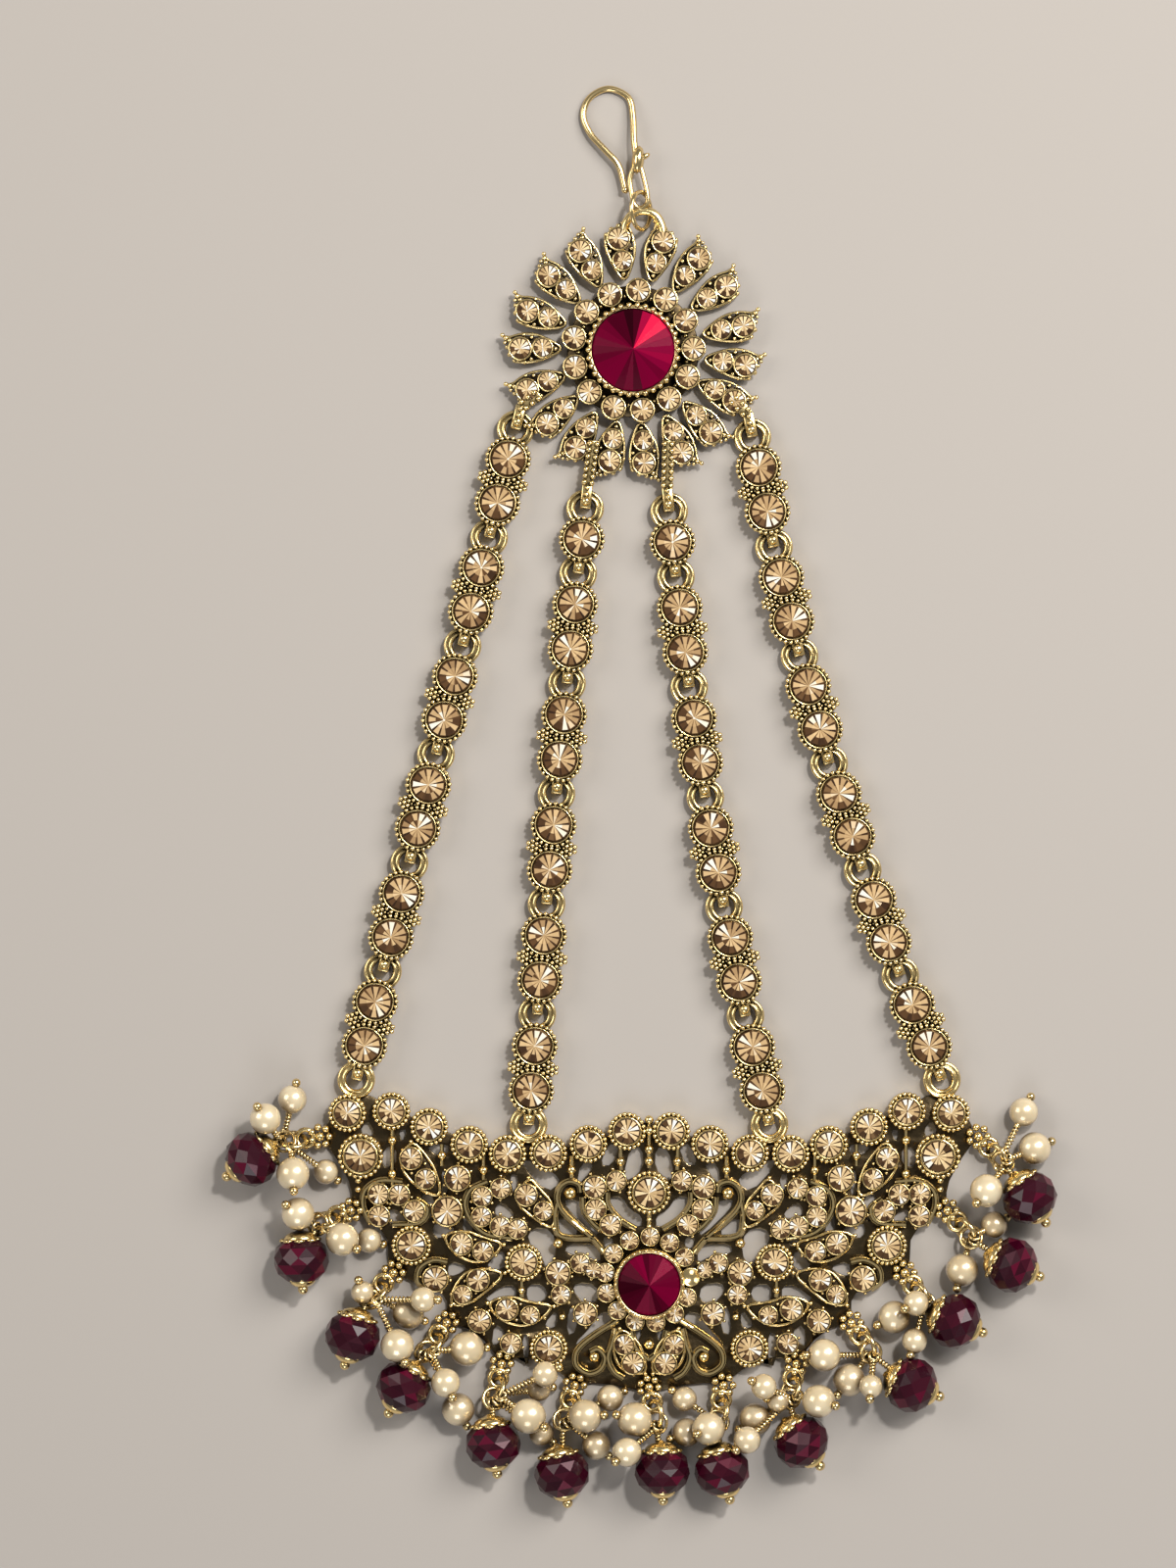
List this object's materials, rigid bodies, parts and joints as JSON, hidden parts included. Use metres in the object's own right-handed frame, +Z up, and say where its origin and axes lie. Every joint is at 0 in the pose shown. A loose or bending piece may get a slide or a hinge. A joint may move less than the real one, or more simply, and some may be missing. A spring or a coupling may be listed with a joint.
{
  "type": "jhoomar hair ornament",
  "caption": "Side hair jewel laid flat: a hair hook, a petalled stone-set rosette, strands of jointed stone links and a pierced crescent plate fringed with pearls and faceted red beads.",
  "frame": {"origin": "middle of the jewel's outline, on the surface that its flat backs lie on", "axes": "+X to the picture's right, +Y along the strands towards the hair hook, +Z up out of the surface, the way the stones face"},
  "size_m": [0.0932, 0.159, 0.0069],
  "materials": {
    "antique_gold": "antiqued gold plate, dark in the recesses, set with foil-backed champagne crystals",
    "gold_wire": "bright pale gold wire",
    "ruby_glass": "deep red cut crystal with a dark backing",
    "pearl": "cream pearl coat on glass, on gold head pins"
  },
  "bodies": {
    "root": {"rosette": "antique_gold", "rosette_ruby": "ruby_glass", "hair_hook": "gold_wire", "hook_ring": "gold_wire", "crescent_plate": "antique_gold", "plate_ruby": "ruby_glass", "strand_1_link_1": "antique_gold", "strand_1_link_2": "antique_gold", "strand_1_link_3": "antique_gold", "strand_1_link_4": "antique_gold", "strand_1_link_5": "antique_gold", "strand_1_link_6": "antique_gold", "strand_2_link_1": "antique_gold", "strand_2_link_2": "antique_gold", "strand_2_link_3": "antique_gold", "strand_2_link_4": "antique_gold", "strand_2_link_5": "antique_gold", "strand_2_link_6": "antique_gold", "strand_3_link_1": "antique_gold", "strand_3_link_2": "antique_gold", "strand_3_link_3": "antique_gold", "strand_3_link_4": "antique_gold", "strand_3_link_5": "antique_gold", "strand_3_link_6": "antique_gold", "strand_4_link_1": "antique_gold", "strand_4_link_2": "antique_gold", "strand_4_link_3": "antique_gold", "strand_4_link_4": "antique_gold", "strand_4_link_5": "antique_gold", "strand_4_link_6": "antique_gold", "ruby_bead_01": "ruby_glass", "ruby_bead_02": "ruby_glass", "ruby_bead_03": "ruby_glass", "ruby_bead_04": "ruby_glass", "ruby_bead_05": "ruby_glass", "ruby_bead_06": "ruby_glass", "ruby_bead_07": "ruby_glass", "ruby_bead_08": "ruby_glass", "ruby_bead_09": "ruby_glass", "ruby_bead_10": "ruby_glass", "ruby_bead_11": "ruby_glass", "ruby_bead_12": "ruby_glass", "ruby_bead_13": "ruby_glass", "pearl_cluster_01": "pearl", "pearl_cluster_02": "pearl", "pearl_cluster_03": "pearl", "pearl_cluster_04": "pearl", "pearl_cluster_05": "pearl", "pearl_cluster_06": "pearl", "pearl_cluster_07": "pearl", "pearl_cluster_08": "pearl", "pearl_cluster_09": "pearl", "pearl_cluster_10": "pearl", "pearl_cluster_11": "pearl", "pearl_cluster_12": "pearl", "pearl_cluster_13": "pearl"}
  },
  "joints": []
}
